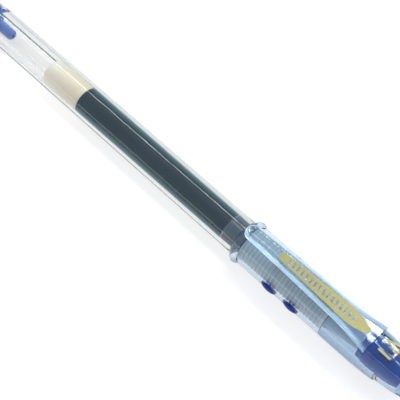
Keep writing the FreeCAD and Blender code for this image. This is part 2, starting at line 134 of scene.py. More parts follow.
class PenColours(bpy.types.PropertyGroup):
    """Colours of the plastics, the ink and the foils"""
    barrel: colour("Barrel", "Clear barrel", (0.97, 0.965, 0.95, 1.0))
    barrel_depth: colour("Barrel depth", "What the barrel's plastic lets through", (0.5, 0.56, 0.58, 1.0))
    plug: colour("Rear plug", "Blue plug in the barrel's rear end", (0.07, 0.2, 0.62, 1.0))
    inner_plug: colour("Crown plug", "Deep blue plug inside the crown", (0.0, 0.075, 0.34, 1.0))
    grease_rear: colour("Grease, rear", "Grease at its rear end", (0.93, 0.89, 0.8, 1.0))
    grease_front: colour("Grease, front", "Grease beside the ink", (0.84, 0.76, 0.62, 1.0))
    ink: colour("Ink", "Blue-black gel ink", (0.006, 0.017, 0.033, 1.0))
    ink_edge: colour("Ink sheen", "Sheen of the ink at its edges", (0.44, 0.92, 1.0, 1.0))
    section: colour("Front section", "Smoke-grey plastic", (0.05, 0.085, 0.12, 1.0))
    grip: colour("Grip", "Grey ribbed grip", (0.45, 0.5, 0.5, 1.0))
    # Painted highlight: the paler colour put on the crest of each grip rib
    grip_crest_highlight: colour("Rib crests", "Paler crest of each rib", (0.55, 0.61, 0.61, 1.0))
    nose: colour("Nose", "Pale translucent nose cone", (0.78, 0.8, 0.82, 1.0))
    cap: colour("Cap", "Light blue tint of the cap", (0.2, 0.45, 0.66, 1.0))
    # Painted shade: the deep blue put on the end faces of the cap and the clip
    cap_end_shade: colour("Cap edges", "Deep blue of the cap's edges", (0.02, 0.05, 0.3, 1.0))
    # Painted glow: emission colour put on the clip's shoulders, standing in for light carried and reflected
    # by the clear plastic
    shoulder_glow_paint: colour("Edge light", "Light that the clear clip carries to its shoulders",
                       (0.5, 0.72, 0.9, 1.0))
    # Painted shade: opaque deep blue standing in for the dark refracted look of the cap's clear side bumps
    bump: colour("Side bumps", "Deep blue side bumps", (0.0, 0.022, 0.2, 1.0))
    gold: colour("Gold foil", "Stamped gold foil", (0.33, 0.31, 0.13, 1.0))
    metal: colour("Tip metal", "Nickel silver of the writing tip", (0.66, 0.63, 0.57, 1.0))
    seal: colour("Seal", "Soft pad that closes the ball", (0.72, 0.72, 0.69, 1.0))
    floor: colour("Floor", "Pale floor", (0.42, 0.42, 0.42, 1.0))


class StudioSettings(bpy.types.PropertyGroup):
    """Camera and light of the studio"""
    azimuth: bpy.props.FloatProperty(name="Azimuth", description="Camera angle around the pen",
                                     default=radians(45.64), unit="ROTATION", subtype="ANGLE")
    elevation: bpy.props.FloatProperty(name="Elevation", description="Camera angle above the floor",
                                       default=radians(59.05), unit="ROTATION", subtype="ANGLE")
    distance: length("Distance", "From the camera to the point that it looks at", 0.3019)
    aim_x: bpy.props.FloatProperty(name="Aim", description="Place along the pen that the camera looks at",
                                   default=0.0041, unit="LENGTH", subtype="DISTANCE")
    lens: bpy.props.FloatProperty(name="Lens", description="Focal length in millimetres",
                                  default=113.7, min=1.0, subtype="DISTANCE_CAMERA")
    world_light: bpy.props.FloatProperty(name="World light", description="Strength of the even light",
                                         default=0.62, min=0.0)
    key_light: bpy.props.FloatProperty(name="Strip light",
                                       description="Power of the long strip light, in watts",
                                       default=1.3, min=0.0)


# ---- Shared shader groups
def group_inputs(group, sockets):
    for name, kind, default in sockets:
        socket = group.interface.new_socket(name, in_out="INPUT", socket_type=kind)
        if default is not None:
            socket.default_value = default


def moulded_surface():
    """Group: slow and fine unevenness of a moulded surface, as a roughness and a height."""
    if "Moulded Surface" in bpy.data.node_groups:
        return bpy.data.node_groups["Moulded Surface"]
    group = bpy.data.node_groups.new("Moulded Surface", "ShaderNodeTree")
    group_inputs(group, [
        ("Vector", "NodeSocketVector", None),
        ("Scale", "NodeSocketFloat", 300.0),
        ("Roughness Low", "NodeSocketFloat", 0.03),
        ("Roughness High", "NodeSocketFloat", 0.08),
    ])
    group.interface.new_socket("Roughness", in_out="OUTPUT", socket_type="NodeSocketFloat")
    group.interface.new_socket("Height", in_out="OUTPUT", socket_type="NodeSocketFloat")
    nodes, links = group.nodes, group.links
    ends = nodes.new("NodeGroupInput")
    out = nodes.new("NodeGroupOutput")
    slow = nodes.new("ShaderNodeTexNoise")
    slow.inputs["Detail"].default_value = 3.0
    fine_scale = nodes.new("ShaderNodeMath")
    fine_scale.operation = "MULTIPLY"
    fine_scale.inputs[1].default_value = 9.0
    fine = nodes.new("ShaderNodeTexNoise")
    fine.inputs["Detail"].default_value = 2.0
    spread = nodes.new("ShaderNodeMapRange")
    spread.inputs["From Min"].default_value = 0.3
    spread.inputs["From Max"].default_value = 0.7
    both = nodes.new("ShaderNodeMath")
    both.operation = "MULTIPLY_ADD"
    both.inputs[1].default_value = 0.15
    links.new(ends.outputs["Vector"], slow.inputs["Vector"])
    links.new(ends.outputs["Vector"], fine.inputs["Vector"])
    links.new(ends.outputs["Scale"], slow.inputs["Scale"])
    links.new(ends.outputs["Scale"], fine_scale.inputs[0])
    links.new(fine_scale.outputs[0], fine.inputs["Scale"])
    links.new(slow.outputs["Fac"], spread.inputs["Value"])
    links.new(ends.outputs["Roughness Low"], spread.inputs["To Min"])
    links.new(ends.outputs["Roughness High"], spread.inputs["To Max"])
    links.new(fine.outputs["Fac"], both.inputs[0])
    links.new(slow.outputs["Fac"], both.inputs[2])
    links.new(spread.outputs["Result"], out.inputs["Roughness"])
    links.new(both.outputs[0], out.inputs["Height"])
    return group


def colour_drift():
    """Group: a colour that wanders a little between two."""
    if "Colour Drift" in bpy.data.node_groups:
        return bpy.data.node_groups["Colour Drift"]
    group = bpy.data.node_groups.new("Colour Drift", "ShaderNodeTree")
    group_inputs(group, [
        ("Vector", "NodeSocketVector", None),
        ("Scale", "NodeSocketFloat", 200.0),
        ("First", "NodeSocketColor", (0.5, 0.5, 0.5, 1.0)),
        ("Second", "NodeSocketColor", (0.6, 0.6, 0.6, 1.0)),
    ])
    group.interface.new_socket("Color", in_out="OUTPUT", socket_type="NodeSocketColor")
    nodes, links = group.nodes, group.links
    ends = nodes.new("NodeGroupInput")
    out = nodes.new("NodeGroupOutput")
    noise = nodes.new("ShaderNodeTexNoise")
    noise.inputs["Detail"].default_value = 4.0
    spread = nodes.new("ShaderNodeMapRange")
    spread.inputs["From Min"].default_value = 0.35
    spread.inputs["From Max"].default_value = 0.65
    mix = nodes.new("ShaderNodeMix")
    mix.data_type = "RGBA"
    links.new(ends.outputs["Vector"], noise.inputs["Vector"])
    links.new(ends.outputs["Scale"], noise.inputs["Scale"])
    links.new(noise.outputs["Fac"], spread.inputs["Value"])
    links.new(spread.outputs["Result"], mix.inputs["Factor"])
    links.new(ends.outputs["First"], mix.inputs["A"])
    links.new(ends.outputs["Second"], mix.inputs["B"])
    links.new(mix.outputs["Result"], out.inputs["Color"])
    return group


# ---- Materials
def shade(colour, factor):
    return tuple(min(1.0, c * factor) for c in colour[:3]) + (1.0,)


class Finish:
    """One material with its coordinates, its Principled shader and its surface group."""

    def __init__(self, name, stretch=(1.0, 1.0, 1.0)):
        self.material = bpy.data.materials.new(name)
        self.material.use_nodes = True
        self.nodes = self.material.node_tree.nodes
        self.links = self.material.node_tree.links
        self.shader = self.nodes["Principled BSDF"]
        self.output = self.nodes["Material Output"]
        self.place = self.nodes.new("ShaderNodeTexCoord")
        self.mapping = self.nodes.new("ShaderNodeMapping")
        self.mapping.inputs["Scale"].default_value = stretch
        self.link(self.place.outputs["Object"], self.mapping.inputs["Vector"])

    def link(self, a, b):
        self.links.new(a, b)

    def set(self, **values):
        for name, value in values.items():
            self.shader.inputs[name.replace("_", " ")].default_value = value
        return self

    def drift(self, first, second, scale):
        """Base colour that wanders between two."""
        node = self.nodes.new("ShaderNodeGroup")
        node.node_tree = colour_drift()
        node.inputs["Scale"].default_value = scale
        node.inputs["First"].default_value = first
        node.inputs["Second"].default_value = second
        self.link(self.mapping.outputs["Vector"], node.inputs["Vector"])
        self.link(node.outputs["Color"], self.shader.inputs["Base Color"])
        self.colour = node
        return self

    def surface(self, scale, rough_low, rough_high, bump, depth):
        """Roughness and bump of a moulded surface."""
        node = self.nodes.new("ShaderNodeGroup")
        node.node_tree = moulded_surface()
        node.inputs["Scale"].default_value = scale
        node.inputs["Roughness Low"].default_value = rough_low
        node.inputs["Roughness High"].default_value = rough_high
        raised = self.nodes.new("ShaderNodeBump")
        raised.inputs["Strength"].default_value = bump
        raised.inputs["Distance"].default_value = depth
        self.link(self.mapping.outputs["Vector"], node.inputs["Vector"])
        self.link(node.outputs["Roughness"], self.shader.inputs["Roughness"])
        self.link(node.outputs["Height"], raised.inputs["Height"])
        self.link(raised.outputs["Normal"], self.shader.inputs["Normal"])
        return self

    def roughens_inside(self, radius, roughness):
        """Add roughness to what lies nearer to the pen's axis than radius, such as an unpolished bore."""
        split = self.nodes.new("ShaderNodeSeparateXYZ")
        up = self.nodes.new("ShaderNodeMath")
        up.operation = "SUBTRACT"
        up.inputs[1].default_value = AXIS_Z
        flat = self.nodes.new("ShaderNodeCombineXYZ")
        away = self.nodes.new("ShaderNodeVectorMath")
        away.operation = "LENGTH"
        inside = self.nodes.new("ShaderNodeMath")
        inside.operation = "LESS_THAN"
        inside.inputs[1].default_value = radius
        total = self.nodes.new("ShaderNodeMath")
        total.operation = "MULTIPLY_ADD"
        total.inputs[1].default_value = roughness
        polished = self.shader.inputs["Roughness"].links[0].from_socket
        self.link(self.place.outputs["Object"], split.inputs["Vector"])
        self.link(split.outputs["Y"], flat.inputs["Y"])
        self.link(split.outputs["Z"], up.inputs[0])
        self.link(up.outputs[0], flat.inputs["Z"])
        self.link(flat.outputs["Vector"], away.inputs[0])
        self.link(away.outputs["Value"], inside.inputs[0])
        self.link(inside.outputs[0], total.inputs[0])
        self.link(polished, total.inputs[2])
        self.link(total.outputs[0], self.shader.inputs["Roughness"])
        return self

    def paints_end_shade(self, tint, until_x):
        """Painted shade: a deeper tint on the faces that look along the pen, standing in for the longer way
        of light through clear tinted plastic at its edges.
        """
        facing = self.nodes.new("ShaderNodeNewGeometry")
        ways = self.nodes.new("ShaderNodeSeparateXYZ")
        along = self.nodes.new("ShaderNodeMath")
        along.operation = "ABSOLUTE"
        edge = self.nodes.new("ShaderNodeMapRange")
        edge.inputs["From Min"].default_value = 0.5
        edge.inputs["From Max"].default_value = 0.95
        split = self.nodes.new("ShaderNodeSeparateXYZ")
        before = self.nodes.new("ShaderNodeMath")
        before.operation = "LESS_THAN"
        before.inputs[1].default_value = until_x
        mask = self.nodes.new("ShaderNodeMath")
        mask.operation = "MULTIPLY"
        mix = self.nodes.new("ShaderNodeMix")
        mix.data_type = "RGBA"
        mix.inputs["B"].default_value = tint
        self.link(facing.outputs["Normal"], ways.inputs["Vector"])
        self.link(ways.outputs["X"], along.inputs[0])
        self.link(along.outputs[0], edge.inputs["Value"])
        self.link(self.place.outputs["Object"], split.inputs["Vector"])
        self.link(split.outputs["X"], before.inputs[0])
        self.link(edge.outputs["Result"], mask.inputs[0])
        self.link(before.outputs[0], mask.inputs[1])
        self.link(mask.outputs[0], mix.inputs["Factor"])
        self.end_shade_mask = mask.outputs[0]
        self.link(self.colour.outputs["Color"], mix.inputs["A"])
        self.link(mix.outputs["Result"], self.shader.inputs["Base Color"])
        return self

    def lets_light_through(self, tint):
        """Shadow and bounce light pass straight through, tinted, so clear plastic leaves no dark shadow."""
        path = self.nodes.new("ShaderNodeLightPath")
        either = self.nodes.new("ShaderNodeMath")
        either.operation = "MAXIMUM"
        clear = self.nodes.new("ShaderNodeBsdfTransparent")
        clear.inputs["Color"].default_value = tint
        mix = self.nodes.new("ShaderNodeMixShader")
        self.link(path.outputs["Is Shadow Ray"], either.inputs[0])
        self.link(path.outputs["Is Diffuse Ray"], either.inputs[1])
        self.link(either.outputs[0], mix.inputs["Fac"])
        self.link(self.shader.outputs["BSDF"], mix.inputs[1])
        self.link(clear.outputs["BSDF"], mix.inputs[2])
        self.link(mix.outputs["Shader"], self.output.inputs["Surface"])
        return self

    def absorbs(self, tint, density):
        """Tint that deepens with the length of the light's way through the plastic."""
        body = self.nodes.new("ShaderNodeVolumeAbsorption")
        body.inputs["Color"].default_value = tint
        body.inputs["Density"].default_value = density
        self.link(body.outputs["Volume"], self.output.inputs["Volume"])
        return self


def made(name, build):
    return bpy.data.materials.get(name) or build()


def clear_barrel(colours):
    def build():
        look = Finish("Clear Barrel", (0.08, 1.0, 1.0))
        look.drift(colours.barrel, shade(colours.barrel, 0.985), 500.0)
        look.surface(900.0, 0.01, 0.035, 0.01, 0.01 * MM)
        look.set(IOR=1.49, Transmission_Weight=1.0)
        look.roughens_inside((BORE_R + BARREL_R) / 2, 0.16)
        look.absorbs(colours.barrel_depth, 80.0)
        look.lets_light_through((0.97, 0.97, 0.96, 1.0))
        return look.material
    return made("Clear Barrel", build)


def clear_cap(colours):
    def build():
        look = Finish("Clear Cap")
        look.drift((0.985, 0.99, 1.0, 1.0), (0.96, 0.975, 0.995, 1.0), 300.0)
        look.surface(420.0, 0.01, 0.04, 0.012, 0.02 * MM)
        # Painted shade: deep blue on the cap's end faces, up to just past the grip
        look.paints_end_shade(colours.cap_end_shade, high("grip_sleeve").x + 2.0 * MM)
        look.set(IOR=1.5, Transmission_Weight=1.0)
        look.absorbs(colours.cap, 250.0)
        look.lets_light_through((0.93, 0.96, 0.99, 1.0))
        return look.material
    return made("Clear Cap", build)


def clear_clip(colours):
    """The cap's clear plastic, with satin shoulders along the arm, a painted glow (emission) on those
    shoulders and a painted deep blue shade on the free end's face.
    """
    def build():
        look = Finish("Clear Clip")
        look.drift((0.985, 0.99, 1.0, 1.0), (0.96, 0.975, 0.995, 1.0), 300.0)
        look.surface(420.0, 0.01, 0.04, 0.012, 0.02 * MM)
        facing = look.nodes.new("ShaderNodeNewGeometry")
        split = look.nodes.new("ShaderNodeSeparateXYZ")
        ramp = look.nodes.new("ShaderNodeValToRGB")
        stops = ramp.color_ramp.elements
        stops[0].position, stops[0].color = 0.0, (0.02, 0.02, 0.02, 1.0)
        stops[1].position, stops[1].color = 0.99, (0.02, 0.02, 0.02, 1.0)
        for place, value in ((0.04, 0.45), (0.94, 0.42)):
            stop = stops.new(place)
            stop.color = (value, value, value, 1.0)
        look.link(facing.outputs["Normal"], split.inputs["Vector"])
        look.link(split.outputs["Z"], ramp.inputs["Fac"])
        # Painted shade: deep blue on the clip's free end face
        look.paints_end_shade(colours.cap_end_shade, CLIP_FREE + 2.0 * MM)
        shoulder = look.nodes.new("ShaderNodeMix")
        shoulder.data_type = "RGBA"
        shoulder.inputs["B"].default_value = (0.02, 0.02, 0.02, 1.0)
        look.link(look.end_shade_mask, shoulder.inputs["Factor"])
        look.link(ramp.outputs["Color"], shoulder.inputs["A"])
        look.link(shoulder.outputs["Result"], look.shader.inputs["Roughness"])
        # Painted glow: emission on the satin shoulders, strongest near the free end and fading towards the
        # hinge
        painted_glow = look.nodes.new("ShaderNodeMix")
        painted_glow.data_type = "RGBA"
        painted_glow.inputs["A"].default_value = (0.0, 0.0, 0.0, 1.0)
        painted_glow.inputs["B"].default_value = colours.shoulder_glow_paint
        place = look.nodes.new("ShaderNodeSeparateXYZ")
        fade = look.nodes.new("ShaderNodeMapRange")
        fade.inputs["From Min"].default_value = HINGE.x - 10.0 * MM
        fade.inputs["From Max"].default_value = HINGE.x - 2.0 * MM
        fade.inputs["To Min"].default_value = 1.0
        fade.inputs["To Max"].default_value = 0.3
        painted_glow_share = look.nodes.new("ShaderNodeMath")
        painted_glow_share.operation = "MULTIPLY"
        look.link(look.place.outputs["Object"], place.inputs["Vector"])
        look.link(place.outputs["X"], fade.inputs["Value"])
        look.link(shoulder.outputs["Result"], painted_glow_share.inputs[0])
        look.link(fade.outputs["Result"], painted_glow_share.inputs[1])
        look.link(painted_glow_share.outputs[0], painted_glow.inputs["Factor"])
        look.link(painted_glow.outputs["Result"], look.shader.inputs["Emission Color"])
        look.set(IOR=1.5, Transmission_Weight=1.0, Emission_Strength=1.0)
        look.absorbs(colours.cap, 250.0)
        look.lets_light_through((0.93, 0.96, 0.99, 1.0))
        return look.material
    return made("Clear Clip", build)


def pale_nose(colours):
    def build():
        look = Finish("Pale Nose")
        look.drift(colours.nose, shade(colours.nose, 0.93), 400.0)
        look.surface(700.0, 0.12, 0.25, 0.1, 0.02 * MM)
        look.set(IOR=1.45, Transmission_Weight=0.15)
        return look.material
    return made("Pale Nose", build)


def moulded(name, first, factor, roughness, **values):
    """Coloured plastic or rubber with a slightly uneven surface."""
    def build():
        look = Finish(name)
        look.drift(first, shade(first, factor), 450.0)
        look.surface(800.0, roughness * 0.8, roughness * 1.3, 0.12, 0.02 * MM)
        look.set(**values)
        return look.material
    return made(name, build)


def grease(colours):
    """Cloudy grease, darker towards the ink."""
    def build():
        look = Finish("Grease")
        look.surface(500.0, 0.25, 0.4, 0.1, 0.02 * MM)
        split = look.nodes.new("ShaderNodeSeparateXYZ")
        along = look.nodes.new("ShaderNodeMapRange")
        along.inputs["From Min"].default_value = low("follower_grease").x
        along.inputs["From Max"].default_value = high("follower_grease").x
        cloud = look.nodes.new("ShaderNodeTexNoise")
        cloud.inputs["Scale"].default_value = 350.0
        cloud.inputs["Detail"].default_value = 3.0
        add = look.nodes.new("ShaderNodeMath")
        add.operation = "MULTIPLY_ADD"
        add.inputs[1].default_value = 0.35
        mix = look.nodes.new("ShaderNodeMix")
        mix.data_type = "RGBA"
        mix.inputs["A"].default_value = colours.grease_rear
        mix.inputs["B"].default_value = colours.grease_front
        look.link(look.place.outputs["Object"], split.inputs["Vector"])
        look.link(split.outputs["X"], along.inputs["Value"])
        look.link(look.mapping.outputs["Vector"], cloud.inputs["Vector"])
        look.link(cloud.outputs["Fac"], add.inputs[0])
        look.link(along.outputs["Result"], add.inputs[2])
        look.link(add.outputs[0], mix.inputs["Factor"])
        look.link(mix.outputs["Result"], look.shader.inputs["Base Color"])
        look.set(Subsurface_Weight=0.6, Subsurface_Radius=(2.0, 1.7, 1.3), Subsurface_Scale=0.8 * MM)
        return look.material
    return made("Grease", build)


def gel_ink(colours):
    def build():
        look = Finish("Gel Ink", (0.2, 1.0, 1.0))
        look.drift(colours.ink, shade(colours.ink, 1.35), 260.0)
        look.surface(300.0, 0.32, 0.42, 0.02, 0.01 * MM)
        look.set(IOR=1.36, Specular_IOR_Level=0.25, Sheen_Weight=1.0, Sheen_Roughness=0.5,
                 Sheen_Tint=colours.ink_edge)
        return look.material
    return made("Gel Ink", build)


def ribbed_rubber(colours, first_x, pitch):
    """Grey elastomer, with a painted highlight: a paler colour on the crest of each rib."""
    def build():
        look = Finish("Grip Rubber")
        look.drift(colours.grip, shade(colours.grip, 0.9), 450.0)
        look.surface(800.0, 0.34, 0.55, 0.12, 0.02 * MM)
        split = look.nodes.new("ShaderNodeSeparateXYZ")
        rows = look.nodes.new("ShaderNodeMapRange")
        rows.clamp = False
        rows.inputs["From Min"].default_value = first_x
        rows.inputs["From Max"].default_value = first_x + pitch
        share = look.nodes.new("ShaderNodeMath")
        share.operation = "FRACT"
        # Painted highlight: mask of each rib's crest
        crest = look.nodes.new("ShaderNodeValToRGB")
        stops = crest.color_ramp.elements
        stops[0].position, stops[0].color = 0.0, (1.0, 1.0, 1.0, 1.0)
        stops[1].position, stops[1].color = 1.0, (1.0, 1.0, 1.0, 1.0)
        for place, value in ((0.12, 0.0), (0.72, 0.0), (0.84, 1.0)):
            stops.new(place).color = (value, value, value, 1.0)
        mix = look.nodes.new("ShaderNodeMix")
        mix.data_type = "RGBA"
        mix.inputs["B"].default_value = colours.grip_crest_highlight
        look.link(look.place.outputs["Object"], split.inputs["Vector"])
        look.link(split.outputs["X"], rows.inputs["Value"])
        look.link(rows.outputs["Result"], share.inputs[0])
        look.link(share.outputs[0], crest.inputs["Fac"])
        look.link(crest.outputs["Color"], mix.inputs["Factor"])
        look.link(look.colour.outputs["Color"], mix.inputs["A"])
        look.link(mix.outputs["Result"], look.shader.inputs["Base Color"])
        look.set(Subsurface_Weight=0.15, Subsurface_Radius=(1.0, 1.0, 1.1), Subsurface_Scale=0.2 * MM)
        return look.material
    return made("Grip Rubber", build)


def turned_metal(colours):
    def build():
        look = Finish("Turned Metal", (6.0, 0.6, 0.6))
        look.drift(colours.metal, shade(colours.metal, 0.85), 1500.0)
        look.surface(2500.0, 0.16, 0.3, 0.2, 0.01 * MM)
        look.set(Metallic=1.0)
        return look.material
    return made("Turned Metal", build)


def polished_ball(colours):
    def build():
        look = Finish("Polished Ball")
        look.drift((0.5, 0.51, 0.53, 1.0), (0.58, 0.58, 0.6, 1.0), 3000.0)
        look.surface(4000.0, 0.04, 0.1, 0.05, 0.005 * MM)
        look.set(Metallic=1.0)
        return look.material
    return made("Polished Ball", build)


def gold_foil(colours):
    """Satin stamping foil."""
    def build():
        look = Finish("Gold Foil")
        look.drift(colours.gold, shade(colours.gold, 1.12), 900.0)
        look.surface(2200.0, 0.34, 0.5, 0.25, 0.01 * MM)
        look.set(Metallic=0.15, Specular_IOR_Level=0.25)
        return look.material
    return made("Gold Foil", build)


def windowed_foil(colours):
    """Gold foil with a row of small slanted windows."""
    def build():
        look = Finish("Windowed Foil")
        look.drift(colours.gold, shade(colours.gold, 1.12), 900.0)
        look.surface(2200.0, 0.34, 0.5, 0.25, 0.01 * MM)
        look.set(Metallic=0.15, Specular_IOR_Level=0.25)
        foil_low, foil_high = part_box("clip_foil")
        nodes, link = look.nodes, look.link

        def math(operation, first, second, third=None):
            node = nodes.new("ShaderNodeMath")
            node.operation = operation
            for i, value in enumerate((first, second, third)):
                if value is None:
                    continue
                if isinstance(value, (int, float)):
                    node.inputs[i].default_value = value
                else:
                    link(value, node.inputs[i])
            return node.outputs[0]

        split = nodes.new("ShaderNodeSeparateXYZ")
        link(look.place.outputs["Object"], split.inputs["Vector"])
        x, y = split.outputs["X"], split.outputs["Y"]
        slant = 0.22
        pitch = 1.3 * MM
        half_bar = 0.2
        half_height = 0.72 * MM
        rear_margin = 2.6 * MM
        front_margin = 4.4 * MM
        slanted = math("MULTIPLY_ADD", y, slant, x)
        share = math("FRACT", math("MULTIPLY", slanted, 1 / pitch), None)
        bar = math("LESS_THAN", math("ABSOLUTE", math("SUBTRACT", share, 0.5), None), half_bar)
        across = math("LESS_THAN", math("ABSOLUTE", y, None), half_height)
        after = math("GREATER_THAN", x, foil_low.x + rear_margin)
        before = math("LESS_THAN", x, foil_high.x - front_margin)
        gap = math("MULTIPLY", math("MULTIPLY", bar, across), math("MULTIPLY", after, before))
        link(math("SUBTRACT", 1.0, gap), look.shader.inputs["Alpha"])
        return look.material
    return made("Windowed Foil", build)


def coat(piece, material):
    """Give a piece one material all over."""
    piece.data.materials.clear()
    piece.data.materials.append(material)


def coat_node(node, material):
    """Give a CAD node a finish through its material slots."""
    for held in frame["nodes"][node].material_slots:
        held.material = material


# ---- Outlines
def bow(a, middle, b, count):
    """Points after a on a smooth curve from a through middle to b."""
    points = []
    for i in range(1, count + 1):
        t = i / count
        wa, wm, wb = (1 - t) * (1 - 2 * t), 4 * t * (1 - t), t * (2 * t - 1)
        points.append(tuple(wa * p + wm * q + wb * r for p, q, r in zip(a, middle, b)))
    return points


def arc_height(x, a, middle, b):
    """Height at x of the arc through three (x, height) points."""
    (x1, z1), (x2, z2), (x3, z3) = a, middle, b
    d = 2 * (x1 * (z2 - z3) + x2 * (z3 - z1) + x3 * (z1 - z2))
    s1, s2, s3 = x1 * x1 + z1 * z1, x2 * x2 + z2 * z2, x3 * x3 + z3 * z3
    cx = (s1 * (z2 - z3) + s2 * (z3 - z1) + s3 * (z1 - z2)) / d
    cz = (s1 * (x3 - x2) + s2 * (x1 - x3) + s3 * (x2 - x1)) / d
    r = sqrt((x1 - cx) ** 2 + (z1 - cz) ** 2)
    side = 1 if z2 > cz else -1
    return cz + side * sqrt(max(0.0, r * r - (x - cx) ** 2))


# ---- Ways of making a piece
def only(piece):
    """Make a piece the one that operators act on."""
    bpy.ops.object.select_all(action="DESELECT")
    piece.select_set(True)
    bpy.context.view_layer.objects.active = piece


def first_point(name, x, y, z):
    """A new piece with one point, in edit mode, ready to be extruded."""
    bpy.ops.object.select_all(action="DESELECT")
    bpy.ops.mesh.primitive_plane_add(size=MM, location=(x, y, z))
    piece = bpy.context.object
    piece.name = piece.data.name = name
    bpy.ops.object.transform_apply(location=True, rotation=True, scale=True)
    bpy.ops.object.mode_set(mode="EDIT")
    bpy.ops.mesh.select_mode(type="VERT")
    bpy.ops.mesh.select_all(action="SELECT")
    bpy.ops.mesh.merge(type="CENTER")
    return piece


def extrude(x, y, z):
    bpy.ops.mesh.extrude_region_move(TRANSFORM_OT_translate={"value": (x, y, z)})


def close_up(merge=0.5e-6):
    """Merge what lies in one place, turn the faces outwards and leave edit mode."""
    bpy.ops.mesh.select_all(action="SELECT")
    bpy.ops.mesh.remove_doubles(threshold=merge)
    bpy.ops.mesh.normals_make_consistent(inside=False)
    bpy.ops.object.mode_set(mode="OBJECT")


def turned(name, points, steps=112, ring=False):
    """Spin a side outline of (x, radius) points about the pen's axis. A ring's outline is closed."""
    piece = first_point(name, points[0][0], 0, AXIS_Z + points[0][1])
    run = points + points[:1] if ring else points
    for (xa, ra), (xb, rb) in zip(run, run[1:]):
        extrude(xb - xa, 0, rb - ra)
    bpy.ops.mesh.select_all(action="SELECT")
    bpy.ops.mesh.spin(steps=steps, angle=2 * pi, center=(0, 0, AXIS_Z), axis=(1, 0, 0))
    close_up()
    return piece


def loft(name, section, stations):
    """Extrude a ring of (y, z) points along X. A station is (x, half width, underside, height),
    and the ring's y runs from -1 to 1 and its z from 0 to 1."""
    x, half, under, tall = stations[0]
    points = [(half * y, under + tall * z) for y, z in section]
    piece = first_point(name, x, points[0][0], AXIS_Z + points[0][1])
    for (ya, za), (yb, zb) in zip(points, points[1:] + points[:1]):
        extrude(0, yb - ya, zb - za)
    bpy.ops.mesh.select_all(action="SELECT")
    bpy.ops.mesh.remove_doubles(threshold=0.1e-6)
    bpy.ops.mesh.edge_face_add()
    for x2, half2, under2, tall2 in stations[1:]:
        extrude(x2 - x, 0, 0)
        bpy.ops.transform.resize(value=(1, half2 / half, tall2 / tall),
                                 center_override=(x2, 0, AXIS_Z + under))
        bpy.ops.transform.translate(value=(0, 0, under2 - under))
        x, half, under, tall = x2, half2, under2, tall2
    close_up(0.1e-6)
    return piece


def modify(piece, kind, **settings):
    """Add a modifier and apply it."""
    only(piece)
    modifier = piece.modifiers.new(kind.title(), kind)
    for name, value in settings.items():
        setattr(modifier, name, value)
    bpy.ops.object.modifier_apply(modifier=modifier.name)


def combine(piece, other, operation):
    """Join another closed piece to a closed piece, or cut it away."""
    modify(piece, "BOOLEAN", operation=operation, solver="EXACT", object=other)
    bpy.data.objects.remove(other)
    only(piece)
    bpy.ops.object.mode_set(mode="EDIT")
    close_up(1e-6)


def smooth(piece, angle=32.0):
    only(piece)
    bpy.ops.object.shade_smooth_by_angle(angle=radians(angle))


def finish_piece(piece, body, slot, material, *nodes):
    """Shading, finish, body and the CAD nodes that the piece stands for."""
    smooth(piece)
    coat(piece, material)
    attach(piece, body)
    if nodes:
        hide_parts(*nodes)


# ---- Barrel group
class GELPEN_OT_barrel(bpy.types.Operator):
    """Clear barrel tube"""
    bl_idname = "gelpen.barrel"
    bl_label = "Barrel"

    def execute(self, context):
        sizes, colours = context.scene.pen_sizes, context.scene.pen_colours
        e = sizes.edge_round * 1.5
        points = [(BARREL_REAR, BORE_R + e), (BARREL_REAR, BARREL_R - e)]
        points += bow(points[-1], (BARREL_REAR + e * 0.29, BARREL_R - e * 0.29),
                      (BARREL_REAR + e, BARREL_R), 4)
        for i in range(1, 24):
            points.append((BARREL_REAR + e + (BARREL_FRONT - BARREL_REAR - 2 * e) * i / 24, BARREL_R))
        points.append((BARREL_FRONT - e, BARREL_R))
        points += bow(points[-1], (BARREL_FRONT - e * 0.29, BARREL_R - e * 0.29),
                      (BARREL_FRONT, BARREL_R - e), 4)
        points += [(BARREL_FRONT, BORE_R + e), (BARREL_FRONT - e, BORE_R), (BARREL_REAR + e, BORE_R)]
        piece = turned("barrel", points, ring=True, steps=144)
        finish_piece(piece, "pen", "clear_barrel", clear_barrel(colours), "barrel_tube")
        return {"FINISHED"}


class GELPEN_OT_rear_plug(bpy.types.Operator):
    """Blue plug in the barrel's rear end, with its tail and vent"""
    bl_idname = "gelpen.rear_plug"
    bl_label = "Rear plug"

    def execute(self, context):
        sizes, colours = context.scene.pen_sizes, context.scene.pen_colours
        head_r = BARREL_R - 0.25 * MM
        vent = 0.5 * MM
        tail_r = 1.45 * MM
        tail_x = high("end_plug").x
        round_r = 0.9 * MM
        gap = 0.02 * MM
        spigot_x = BARREL_REAR + 1.9 * MM
        points = [(BARREL_REAR, vent), (REAR_X + 0.15 * MM, vent), (REAR_X, vent + 0.15 * MM),
                  (REAR_X, head_r - round_r)]
        points += bow(points[-1], (REAR_X + round_r * 0.29, head_r - round_r * 0.29),
                      (REAR_X + round_r, head_r), 8)
        points += [(BARREL_REAR - gap - 0.1 * MM, head_r), (BARREL_REAR - gap, head_r - 0.1 * MM),
                   (BARREL_REAR - gap, BORE_R + sizes.wetting),
                   (spigot_x - 0.15 * MM, BORE_R + sizes.wetting), (spigot_x, BORE_R - 0.15 * MM),
                   (spigot_x, tail_r + 0.15 * MM), (spigot_x + 0.15 * MM, tail_r),
                   (tail_x - 0.7 * MM, tail_r)]
        points += bow(points[-1], (tail_x - 0.2 * MM, tail_r - 0.25 * MM), (tail_x, tail_r - 0.75 * MM), 8)
        points += [(tail_x, vent)]
        piece = turned("rear_plug", points, ring=True, steps=96)
        plastic = moulded("Blue Plug", colours.plug, 0.85, 0.22, Subsurface_Weight=0.35,
                          Subsurface_Radius=(0.3, 0.6, 1.6), Subsurface_Scale=0.8 * MM, Coat_Weight=0.3)
        finish_piece(piece, "pen", "blue_plug", plastic, "end_plug")
        return {"FINISHED"}


